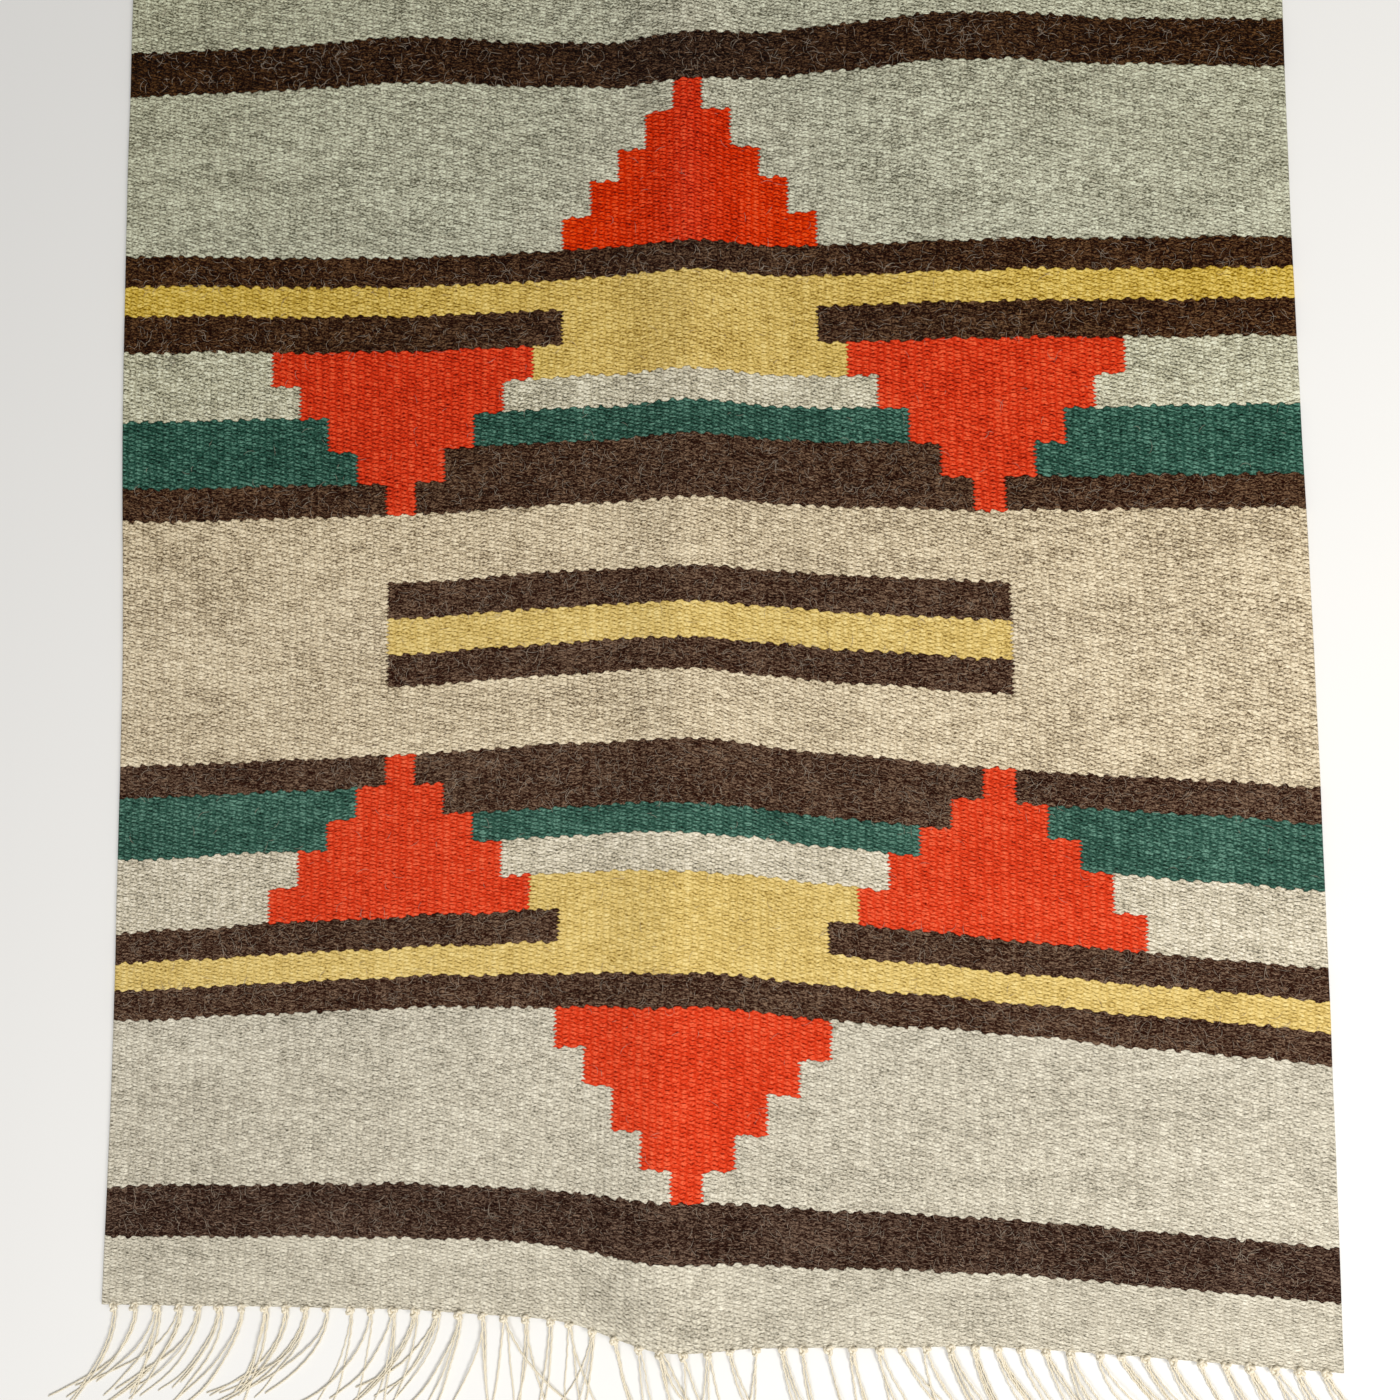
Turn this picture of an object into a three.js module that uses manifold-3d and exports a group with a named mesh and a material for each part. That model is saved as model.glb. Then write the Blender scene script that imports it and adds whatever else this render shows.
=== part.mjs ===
// A flat-woven wool rug with stepped bands, laid out on a floor, with knotted cotton fringe at both ends.
// Millimetres, +Z up. +X runs across the rug, +Y along its warps, from the foot end to the head end.
// Places on the cloth are given on the loom: u counts design units across, v is mm along the warps.

import * as THREE from 'three';
import { mergeVertices } from 'three/addons/utils/BufferGeometryUtils.js';
import Module from 'manifold-3d';

const wasm = await Module();
wasm.setup();

// Loom sizes
const WARP_PITCH = 3.75;
const WARPS_PER_UNIT = 4;
const UNIT = WARP_PITCH * WARPS_PER_UNIT;
const HALF_WIDTH_UNITS = 20;
const BEAD_LENGTH = 2.07; // one weft bead along a warp, two passes of the shuttle
const BEADS_LONG = 341;
const HALF_LENGTH = BEAD_LENGTH * BEADS_LONG / 2;
const THICKNESS = 3;

// The laid rug's middle against the middle of its outline, fringe included
const CENTRE_X = 0.5;
const CENTRE_Y = 1.2;

// How far the wefts are beaten off straight, in mm towards the head, at seven places across
const BOW_UNITS = [-20, -10, -5, 0, 5, 10, 20];
const BOW = [
  { v: 353, edgeL: 8.5, motifL: 3.5, dipL: -1.5, crease: 0, dipR: -2.5, motifR: -2, edgeR: -11 },
  { v: 287, edgeL: 9, motifL: 5.5, dipL: 0.5, crease: -3, dipR: -0.5, motifR: 0.5, edgeR: -10.5 },
  { v: 196, edgeL: 8.5, motifL: 1, dipL: 0.5, crease: 1, dipR: -3, motifR: -3, edgeR: -8.5 },
  { v: 111, edgeL: 1, motifL: -1, dipL: 0.5, crease: 1, dipR: -4, motifR: -6, edgeR: -9.5 },
  { v: 30, edgeL: -5, motifL: -3.5, dipL: 1, crease: 2, dipR: -3.5, motifR: -8.5, edgeR: -11 },
  { v: -63, edgeL: -7, motifL: -2, dipL: 2.5, crease: 5, dipR: -3.5, motifR: -10.5, edgeR: -21 },
  { v: -148, edgeL: -6.5, motifL: 3, dipL: 7, crease: 8.5, dipR: 1.5, motifR: -6.5, edgeR: -19 },
  { v: -215, edgeL: -0.5, motifL: 7, dipL: 7.5, crease: 9, dipR: 2.5, motifR: -1.5, edgeR: -13.5 },
  { v: -287, edgeL: 3.5, motifL: 8.5, dipL: 7.5, crease: 4.5, dipR: 1, motifR: -1, edgeR: -10 },
  { v: -353, edgeL: 12, motifL: 14.5, dipL: 13.5, crease: 1.5, dipR: 5.5, motifR: 7, edgeR: 1 },
];

// How far the warps stray sideways, in mm, between the selvages: they crowd towards the crease
const STRAY_UNITS = [-20, -12, -5, 0, 5, 12, 20];
const STRAY = [
  { v: 353, edgeL: -7, motifL: -3.5, dipL: -1, crease: 0.5, dipR: 1, motifR: 1, edgeR: 1 },
  { v: 220, edgeL: -6.5, motifL: -4, dipL: 1, crease: 0, dipR: -1.5, motifR: 0.5, edgeR: 0 },
  { v: 110, edgeL: -5, motifL: -3, dipL: 1, crease: 1, dipR: -2, motifR: -0.5, edgeR: 0.5 },
  { v: 0, edgeL: -1, motifL: 0.5, dipL: 0, crease: 0.5, dipR: 0.5, motifR: 1.5, edgeR: 1.5 },
  { v: -110, edgeL: 0, motifL: 0, dipL: 1, crease: 0.5, dipR: -1, motifR: 1, edgeR: 1.5 },
  { v: -220, edgeL: 0.5, motifL: -0.5, dipL: -1.5, crease: -2, dipR: 0, motifR: -0.5, edgeR: 1 },
  { v: -353, edgeL: -1, motifL: -2.5, dipL: -4, crease: -4.5, dipR: -3, motifR: -2, edgeR: 0 },
];

// The crease left by storing the rug folded lengthwise: a low roof down the middle
const ROOF_FULLNESS = 1.4; // how far its slopes bulge
const CREASE = [
  { v: 353, u: 0, height: 7, halfWidth: 46 },
  { v: 196, u: 0, height: 6, halfWidth: 42 },
  { v: 0, u: -0.4, height: 5.5, halfWidth: 40 },
  { v: -196, u: -0.8, height: 6, halfWidth: 42 },
  { v: -353, u: -0.9, height: 7.5, halfWidth: 48 },
];

// Shallow swells where the ends don't lie flat
const SWELLS = [
  { u: -9.5, v: 375, halfUnits: 5.2, halfLength: 150, height: 6.5 },
  { u: 8.6, v: 375, halfUnits: 6, halfLength: 165, height: 6.5 },
  { u: 5.6, v: -375, halfUnits: 4, halfLength: 90, height: 3 },
  { u: -6.5, v: -380, halfUnits: 3, halfLength: 80, height: 3 },
];

// Mesh steps of the cloth, closer together near the crease
const CLOTH_COLUMNS = 40;
const CLOTH_ROWS = 24;
const MIDDLE_STEP_SHARE = 0.55;

// Fringe sizes. Each knot holds three warps
const WARPS_PER_KNOT = 3;
const KNOT_COUNT = 53;
const FRINGE_GAP = 0.3;
const STRIP = { depth: 1.4, height: 1.5, floorGap: 0.2 };
const KNOT = { depth: 3.2, height: 2.7 };
const STRAND = {
  length: 54,
  base: 1.5,
  height: 1.3,
  rootSpacing: 1.9,
  rootLift: 0.3,
  fan: 0.9,
  landing: 0.25, // the share of its length in which it comes down to the floor
  bend: 1.7, // how late it turns to its side
  shortening: 0.28, // how much less far out it ends when it turns
  uneven: 0.06,
};
const NEAR = 0.02; // a short way along a strand, for its direction

// Sideways reach of the strands' tips along each end, as a share of their length
const FRINGE_ENDS = [
  {
    name: 'fringe_head', side: 1, lengthShare: 0.94, steps: 3,
    leanL: -0.22, leanMid: 0.05, leanR: 0.3,
  },
  {
    name: 'fringe_foot', side: -1, lengthShare: 1, steps: 4,
    leanL: -0.62, leanMid: 0.02, leanR: 0.7,
  },
];
const HEAD_SEED = 500; // sets the head end's scatter apart from the foot end's

const WOOL = { color: 0xb9b29c, roughness: 0.95, metalness: 0 };
const COTTON = { color: 0xdfcca4, roughness: 0.9, metalness: 0 };

// A smooth curve through values at rising places
function smoothThrough(places, values, place) {
  const last = places.length - 1;
  const at = Math.min(Math.max(place, places[0]), places[last]);
  let i = 0;
  while (i < last - 1 && at > places[i + 1]) i += 1;
  const slope = (k) => {
    const lo = Math.max(k - 1, 0);
    const hi = Math.min(k + 1, last);
    return (values[hi] - values[lo]) / (places[hi] - places[lo]);
  };
  const span = places[i + 1] - places[i];
  const t = (at - places[i]) / span;
  const rise = values[i + 1] - values[i];
  const a = slope(i) * span;
  const b = slope(i + 1) * span;
  return values[i] + t * (a + t * ((3 * rise - 2 * a - b) + t * (a + b - 2 * rise)));
}

// Reads one column of a table whose rows go from the head down
function columnAt(table, column, v) {
  const rising = [...table].reverse();
  return smoothThrough(rising.map((row) => row.v), rising.map((row) => row[column]), v);
}

// Reads a table across the rug: one smooth curve through its columns at v
function acrossAt(table, units, u, v) {
  const columns = Object.keys(table[0]).filter((key) => key !== 'v');
  return smoothThrough(units, columns.map((column) => columnAt(table, column, v)), u);
}

// A smooth hump, 1 in the middle and 0 from one half width out
function hump(distance) {
  const d = Math.min(Math.abs(distance), 1);
  return (1 - d * d) ** 2;
}

// A roof whose top is softly rounded, 1 in the middle and 0 from one half width out
function roof(distance) {
  const d = Math.min(Math.abs(distance), 1);
  return (1 - d) ** 2 * (1 + ROOF_FULLNESS * d);
}

// Height of the cloth's underside over the floor
function liftAt(u, v) {
  const creaseU = columnAt(CREASE, 'u', v);
  const halfWidth = columnAt(CREASE, 'halfWidth', v);
  let lift = columnAt(CREASE, 'height', v) * roof((u - creaseU) * UNIT / halfWidth);
  for (const swell of SWELLS) {
    const across = hump((u - swell.u) / swell.halfUnits);
    lift += swell.height * across * hump((v - swell.v) / swell.halfLength);
  }
  return lift;
}

// Where a place on the loom lies on the floor
function placeOnFloor(u, v) {
  const x = u * UNIT + acrossAt(STRAY, STRAY_UNITS, u, v) - CENTRE_X;
  const y = v + acrossAt(BOW, BOW_UNITS, u, v) - CENTRE_Y;
  return new THREE.Vector3(x, y, liftAt(u, v));
}

// The place across of a mesh column, where t goes from -1 to 1 between the selvages
function columnUnits(t) {
  return HALF_WIDTH_UNITS * (MIDDLE_STEP_SHARE * t + (1 - MIDDLE_STEP_SHARE) * t ** 3);
}

// The cloth's end edge between two mesh columns is straight, and the fringe follows it
function endEdge(u, side) {
  const places = Array.from(
    { length: CLOTH_COLUMNS + 1 },
    (_, i) => columnUnits(2 * i / CLOTH_COLUMNS - 1),
  );
  const column = Math.max(places.findLastIndex((place) => place < u), 0);
  const left = placeOnFloor(places[column], side * HALF_LENGTH);
  const right = placeOnFloor(places[column + 1], side * HALF_LENGTH);
  return left.lerp(right, (u - places[column]) / (places[column + 1] - places[column]));
}

// A closed geometry whose points are moved by a function
function remade(geometry, move) {
  geometry.deleteAttribute('normal');
  geometry.deleteAttribute('uv');
  const closed = mergeVertices(geometry);
  const position = closed.getAttribute('position');
  for (let i = 0; i < position.count; i += 1) {
    const moved = move(new THREE.Vector3().fromBufferAttribute(position, i));
    position.setXYZ(i, moved.x, moved.y, moved.z);
  }
  return closed;
}

function clothGeometry() {
  const block = new THREE.BoxGeometry(2, 2 * HALF_LENGTH, THICKNESS, CLOTH_COLUMNS, CLOTH_ROWS, 1);
  return remade(block, (point) => {
    const place = placeOnFloor(columnUnits(point.x), point.y);
    place.z += point.z + THICKNESS / 2;
    return place;
  });
}

// A repeatable scatter from -1 to 1 for each strand: the far digits of a sine, by the usual constants
function scatter(seed) {
  const wave = Math.sin(seed * 12.9898 + 4.137) * 43758.5453;
  return 2 * (wave - Math.floor(wave)) - 1;
}

function knotUnits(index) {
  return (index - (KNOT_COUNT - 1) / 2) * WARPS_PER_KNOT / WARPS_PER_UNIT;
}

// The narrow strip along the last weft, thickened at each knot
function stripGeometry(end) {
  const reach = KNOT_COUNT * WARPS_PER_KNOT / WARPS_PER_UNIT / 2;
  return remade(new THREE.BoxGeometry(2 * reach, 1, 1, 2 * KNOT_COUNT, 1, 1), (point) => {
    const step = Math.round((point.x + reach) / reach * KNOT_COUNT);
    const swell = step % 2;
    const depth = THREE.MathUtils.lerp(STRIP.depth, KNOT.depth, swell);
    const height = THREE.MathUtils.lerp(STRIP.height, KNOT.height, swell);
    const edge = endEdge(point.x, end.side);
    const outwards = FRINGE_GAP + depth * (point.y * end.side + 0.5);
    edge.y += end.side * outwards;
    edge.z += STRIP.floorGap + height * (point.z + 0.5);
    return edge;
  });
}

// Three strands hang from every third knot and two from the others
function strandsAt(index) {
  return index % 3 === 1 ? 3 : 2;
}

// One strand: straight out of its knot, down to the floor and off to its side, level with its neighbours
function strandGeometry(end, index, order) {
  const u = knotUnits(index);
  const across = order - (strandsAt(index) - 1) / 2;
  const seed = index * 4 + (end.side > 0 ? HEAD_SEED : 0);
  const leans = [end.leanL, end.leanMid, end.leanR];
  const lean = smoothThrough([-HALF_WIDTH_UNITS, 0, HALF_WIDTH_UNITS], leans, u);
  const length = STRAND.length * end.lengthShare * (1 + STRAND.uneven * scatter(seed));
  const share = 1 + STRAND.uneven * scatter(seed + 1 + order);
  const root = endEdge(u, end.side);
  root.y += end.side * (FRINGE_GAP + STRIP.depth / 2);
  root.z += STRIP.floorGap + STRAND.rootLift;
  const spine = (s) => {
    const sideways = lean * length * s ** STRAND.bend;
    const outwards = length * s * (1 - STRAND.shortening * Math.abs(lean) * s);
    const drop = Math.max(1 - s / STRAND.landing, 0) ** 2;
    return new THREE.Vector3(root.x + sideways, root.y + end.side * outwards, root.z * drop);
  };
  const tube = new THREE.CylinderGeometry(1, 1, 1, 3, end.steps); // three-sided, from -0.5 to 1 in z
  return remade(tube, (point) => {
    const s = (point.y + 0.5) * share;
    const centre = spine(s);
    const ahead = spine(s + NEAR).sub(spine(Math.max(s - NEAR, 0))).setZ(0).normalize();
    const aside = new THREE.Vector3(ahead.y, -ahead.x, 0);
    const fromSpine = across * (STRAND.rootSpacing + STRAND.fan * s);
    const fromMiddle = point.x / Math.sin(Math.PI / 3) * STRAND.base / 2;
    centre.addScaledVector(aside, fromSpine + fromMiddle);
    centre.z += (point.z + 0.5) / 1.5 * STRAND.height;
    return centre;
  });
}

function solidOf(geometry) {
  const vertProperties = new Float32Array(geometry.getAttribute('position').array);
  const triVerts = new Uint32Array(geometry.index.array);
  let solid = new wasm.Manifold(new wasm.Mesh({ numProp: 3, vertProperties, triVerts }));
  if (solid.volume() < 0) {
    for (let i = 0; i < triVerts.length; i += 3) {
      [triVerts[i], triVerts[i + 1]] = [triVerts[i + 1], triVerts[i]];
    }
    solid = new wasm.Manifold(new wasm.Mesh({ numProp: 3, vertProperties, triVerts }));
  }
  return solid;
}

function geometryOf(solid) {
  const mesh = solid.getMesh();
  const geometry = new THREE.BufferGeometry();
  geometry.setAttribute('position', new THREE.BufferAttribute(new Float32Array(mesh.vertProperties), 3));
  geometry.setIndex(new THREE.BufferAttribute(new Uint32Array(mesh.triVerts), 1));
  return geometry;
}

function fringeGeometry(end) {
  const pieces = [solidOf(stripGeometry(end))];
  for (let index = 0; index < KNOT_COUNT; index += 1) {
    for (let order = 0; order < strandsAt(index); order += 1) {
      pieces.push(solidOf(strandGeometry(end, index, order)));
    }
  }
  return geometryOf(wasm.Manifold.union(pieces));
}

function addPiece(group, name, geometry, look) {
  const piece = new THREE.Mesh(geometry, new THREE.MeshStandardMaterial(look));
  piece.name = name;
  group.add(piece);
}

const rug = new THREE.Group();
addPiece(rug, 'cloth', clothGeometry(), WOOL);
for (const end of FRINGE_ENDS) addPiece(rug, end.name, fringeGeometry(end), COTTON);

export default rug;
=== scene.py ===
# A flat-woven wool rug with a knotted cotton fringe, laid on a pale floor and seen from above
import functools
import math
import random

import bmesh
import bpy
from mathutils import Matrix, Vector, noise


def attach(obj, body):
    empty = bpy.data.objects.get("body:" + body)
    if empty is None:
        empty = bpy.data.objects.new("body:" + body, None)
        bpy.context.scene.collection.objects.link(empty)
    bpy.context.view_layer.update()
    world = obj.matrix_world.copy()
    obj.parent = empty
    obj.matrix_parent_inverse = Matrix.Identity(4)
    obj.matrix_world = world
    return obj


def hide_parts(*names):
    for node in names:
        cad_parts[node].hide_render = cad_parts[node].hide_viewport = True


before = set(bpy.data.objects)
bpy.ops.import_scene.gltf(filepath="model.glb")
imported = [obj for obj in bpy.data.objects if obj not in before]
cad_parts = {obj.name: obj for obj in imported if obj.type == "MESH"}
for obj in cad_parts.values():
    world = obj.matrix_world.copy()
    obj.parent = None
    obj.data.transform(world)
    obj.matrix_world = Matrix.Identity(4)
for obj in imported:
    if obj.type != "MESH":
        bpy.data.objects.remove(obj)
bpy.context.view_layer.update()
scene = bpy.context.scene
mm = 0.001


def say(stage):
    print("rug:", stage)


say("frame loaded")

# The loom: u counts design units across from the middle, v is mm along the warps from the middle
loom = {
    "warpPitch": 3.75,
    "warpsPerUnit": 4,
    "halfUnits": 20,
    "beadLength": 2.07,  # two passes of the shuttle
    "beads": 341,
    "thickness": 3.0,
    "centre": (0.5, 1.2),  # the laid rug's middle against the middle of its outline
}
unit = loom["warpPitch"] * loom["warpsPerUnit"]
warps = 2 * loom["halfUnits"] * loom["warpsPerUnit"]
halfLength = loom["beads"] * loom["beadLength"] / 2

# How the cloth lies, in mm: wefts beaten off straight, warps astray, the lengthwise crease, the swollen ends
bowUnits = (-20, -10, -5, 0, 5, 10, 20)
bow = {
    -353: (12, 14.5, 13.5, 1.5, 5.5, 7, 1),
    -287: (3.5, 8.5, 7.5, 4.5, 1, -1, -10),
    -215: (-0.5, 7, 7.5, 9, 2.5, -1.5, -13.5),
    -148: (-6.5, 3, 7, 8.5, 1.5, -6.5, -19),
    -63: (-7, -2, 2.5, 5, -3.5, -10.5, -21),
    30: (-5, -3.5, 1, 2, -3.5, -8.5, -11),
    111: (1, -1, 0.5, 1, -4, -6, -9.5),
    196: (8.5, 1, 0.5, 1, -3, -3, -8.5),
    287: (9, 5.5, 0.5, -3, -0.5, 0.5, -10.5),
    353: (8.5, 3.5, -1.5, 0, -2.5, -2, -11),
}
strayUnits = (-20, -12, -5, 0, 5, 12, 20)
stray = {
    -353: (-1, -2.5, -4, -4.5, -3, -2, 0),
    -220: (0.5, -0.5, -1.5, -2, 0, -0.5, 1),
    -110: (0, 0, 1, 0.5, -1, 1, 1.5),
    0: (-1, 0.5, 0, 0.5, 0.5, 1.5, 1.5),
    110: (-5, -3, 1, 1, -2, -0.5, 0.5),
    220: (-6.5, -4, 1, 0, -1.5, 0.5, 0),
    353: (-7, -3.5, -1, 0.5, 1, 1, 1),
}
crease = {  # place in units, height, half width
    -353: (-0.9, 7.5, 48),
    -196: (-0.8, 6, 42),
    0: (-0.4, 5.5, 40),
    196: (0, 6, 42),
    353: (0, 7, 46),
}
creaseFullness = 1.4  # how far the crease's flanks stay up beside its sharp top
swells = (
    {"u": -9.5, "v": 375, "halfUnits": 5.2, "halfLength": 150, "height": 6.5},
    {"u": 8.6, "v": 375, "halfUnits": 6, "halfLength": 165, "height": 6.5},
    {"u": 5.6, "v": -375, "halfUnits": 4, "halfLength": 90, "height": 3},
    {"u": -6.5, "v": -380, "halfUnits": 3, "halfLength": 80, "height": 3},
)

# The weaver's chart, from the middle stripe out to either end. Side motifs stand ten units from the middle
motifUnits = 10
chart = (
    # band, beads towards the head, beads towards the foot, yarn outside, yarn inside,
    # half width of the inside, half width of the motif, both in units
    ("bar middle", 3.5, 4, "beige", "mustard", 10.5, 0),
    ("bar edge", 9.5, 8, "beige", "brown", 10.5, 0),
    ("middle field", 16.5, 18, "beige", "beige", 0, 0),
    ("motif step 1", 8, 7.5, "brown", "brown", 10, 0.5),
    ("motif step 2", 8.5, 8.5, "green", "brown", 10, 1.5),
    ("motif step 3", 8, 7.5, "green", "green", 10, 2.5),
    ("motif step 4", 8, 9, "pale", "pale", 10, 3.5),
    ("motif step 5", 9, 9, "pale", "mustard", 10, 4.5),
    ("short stripe", 8.5, 8, "brown", "mustard", 4.5, 0),
    ("mustard stripe", 7.5, 7.5, "mustard", "mustard", 0, 0),
    ("brown stripe", 7.5, 8, "brown", "brown", 0, 0),
    ("triangle step 1", 9, 9.5, "grey", "orange", 4.5, 0),
    ("triangle step 2", 9, 9, "grey", "orange", 3.5, 0),
    ("triangle step 3", 8.5, 9, "grey", "orange", 2.5, 0),
    ("triangle step 4", 9, 8, "grey", "orange", 1.5, 0),
    ("triangle step 5", 8.5, 7, "grey", "orange", 0.5, 0),
    ("end stripe", 12, 13.5, "umber", "umber", 0, 0),
    ("border", 20, 19.5, "grey", "grey", 0, 0),
)

# Each yarn's shade in its hollows, on its flanks and on its crowns, the hollows' being painted shade and the
# crowns' a painted highlight, both also used for darker and paler fibres, and its tint of painted shade at
# the head end, then how strongly its fibres are mixed, how many pale flecks it has and how strongly its
# beads' painted highlight and shade show.
# Brown is the hairy wool of the stripes and umber the darker batch of the end stripes
yarns = {
    "beige": {
        "dark": "#5C4C36", "main": "#CBBB9E", "pale": "#F8ECD2", "headShadeTint": "#FFFFFF",
        "mixed": 0.9, "flecked": 0.3, "crownShading": 0.95,
    },
    "pale": {
        "dark": "#5A5546", "main": "#C8BFA9", "pale": "#F8F2E2", "headShadeTint": "#F7FFFD",
        "mixed": 0.85, "flecked": 0.3, "crownShading": 0.85,
    },
    "grey": {
        "dark": "#575344", "main": "#C2BBAA", "pale": "#F4F0E0", "headShadeTint": "#F7FFFD",
        "mixed": 0.8, "flecked": 0.35, "crownShading": 0.7,
    },
    "brown": {
        "dark": "#050100", "main": "#2F150B", "pale": "#8A725E", "headShadeTint": "#EBE0CE",
        "mixed": 0.7, "flecked": 0.7, "crownShading": 0.55,
    },
    "umber": {
        "dark": "#050100", "main": "#28120A", "pale": "#826C5C", "headShadeTint": "#EEE3CF",
        "mixed": 0.7, "flecked": 0.7, "crownShading": 0.55,
    },
    "mustard": {
        "dark": "#7A5C14", "main": "#DABE72", "pale": "#FAE8A8", "headShadeTint": "#FCFDF6",
        "mixed": 0.6, "flecked": 0.0, "crownShading": 0.7,
    },
    "orange": {
        "dark": "#6E0800", "main": "#DA3B1A", "pale": "#F87A54", "headShadeTint": "#FFFCEC",
        "mixed": 0.5, "flecked": 0.1, "crownShading": 0.85,
    },
    "green": {
        "dark": "#04140F", "main": "#2E5448", "pale": "#74A090", "headShadeTint": "#FFFFFF",
        "mixed": 0.65, "flecked": 0.15, "crownShading": 0.9,
    },
}
yarnOrder = list(yarns)


def smoothThrough(places, values, place):
    # a smooth curve through values at rising places
    last = len(places) - 1
    at = min(max(place, places[0]), places[last])
    i = 0
    while i < last - 1 and at > places[i + 1]:
        i += 1
    span = places[i + 1] - places[i]
    slopes = []
    for k in (i, i + 1):
        lo = max(k - 1, 0)
        hi = min(k + 1, last)
        slopes.append((values[hi] - values[lo]) / (places[hi] - places[lo]) * span)
    t = (at - places[i]) / span
    rise = values[i + 1] - values[i]
    square = 3 * rise - 2 * slopes[0] - slopes[1]
    cube = slopes[0] + slopes[1] - 2 * rise
    return values[i] + t * (slopes[0] + t * (square + t * cube))


@functools.lru_cache(maxsize=None)
def rowAt(name, v):
    # one row of a table of how the cloth lies, at v
    table = {"bow": bow, "stray": stray, "crease": crease}[name]
    places = list(table)
    return tuple(smoothThrough(places, column, v) for column in zip(*table.values()))


def hump(distance):
    d = min(abs(distance), 1)
    return (1 - d * d) ** 2


def roof(distance):
    d = min(abs(distance), 1)
    return (1 - d) ** 2 * (1 + creaseFullness * d)


def liftAt(u, v):
    # height of the cloth's underside over the floor
    creaseU, height, halfWidth = rowAt("crease", v)
    lift = height * roof((u - creaseU) * unit / halfWidth)
    for swell in swells:
        across = hump((u - swell["u"]) / swell["halfUnits"])
        lift += swell["height"] * across * hump((v - swell["v"]) / swell["halfLength"])
    return lift


def placeOnFloor(u, v):
    x = u * unit + smoothThrough(strayUnits, rowAt("stray", v), u) - loom["centre"][0]
    y = v + smoothThrough(bowUnits, rowAt("bow", v), u) - loom["centre"][1]
    return Vector((x, y, liftAt(u, v)))


def yarnAt(u, beadsUp):
    # the yarn that the chart gives at a place, in beads towards the head from the middle
    total = 0
    for band, towardsHead, towardsFoot, outside, inside, insideHalf, motifHalf in chart:
        total += towardsHead if beadsUp > 0 else towardsFoot
        if abs(beadsUp) < total:
            break
    if abs(abs(u) - motifUnits) < motifHalf:
        return "orange"
    return inside if abs(u) < insideHalf else outside


def linear(hexColour):
    # sRGB hex to the linear colour that a shader takes
    channels = [int(hexColour[i:i + 2], 16) / 255 for i in (1, 3, 5)]
    return [c / 12.92 if c <= 0.04045 else ((c + 0.055) / 1.055) ** 2.4 for c in channels] + [1.0]


def addNode(tree, kind, settings=None, links=None):
    # adds a node, sets it and feeds its sockets with values or other nodes' first outputs
    node = tree.nodes.new(kind)
    for name, value in (settings or {}).items():
        setattr(node, name, value)
    for socket, source in (links or {}).items():
        if isinstance(source, bpy.types.Node):
            tree.links.new(source.outputs[0], node.inputs[socket])
        elif isinstance(source, bpy.types.NodeSocket):
            tree.links.new(source, node.inputs[socket])
        else:
            node.inputs[socket].default_value = source
    return node


def newMaterial(name, settings):
    material = bpy.data.materials.new(name)
    material.use_nodes = True
    tree = material.node_tree
    tree.nodes.clear()
    shader = addNode(tree, "ShaderNodeBsdfPrincipled", {}, settings)
    addNode(tree, "ShaderNodeOutputMaterial", {}, {"Surface": shader})
    return material, tree, shader


def addSteppedRamp(tree, place, stops):
    # a ramp that holds each stop's colour until the next
    node = addNode(tree, "ShaderNodeValToRGB", {}, {"Fac": place})
    ramp = node.color_ramp
    ramp.interpolation = "CONSTANT"
    ramp.elements[0].position = stops[0][0]
    ramp.elements[0].color = stops[0][1]
    ramp.elements[1].position = stops[1][0]
    ramp.elements[1].color = stops[1][1]
    for position, colour in stops[2:]:
        ramp.elements.new(position).color = colour
    return node


def asColour(value):
    # a plain number as a grey that a ramp can hold
    return [value, value, value, 1.0]


def addSteps(tree, made, steps):
    # lays out sums in reading order: name, operation, then values or the names of earlier steps
    for name, operation, *terms in steps:
        feeds = {i: made.get(term, term) if isinstance(term, str) else term for i, term in enumerate(terms)}
        made[name] = addNode(tree, "ShaderNodeMath", {"operation": operation, "label": name}, feeds)


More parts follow.
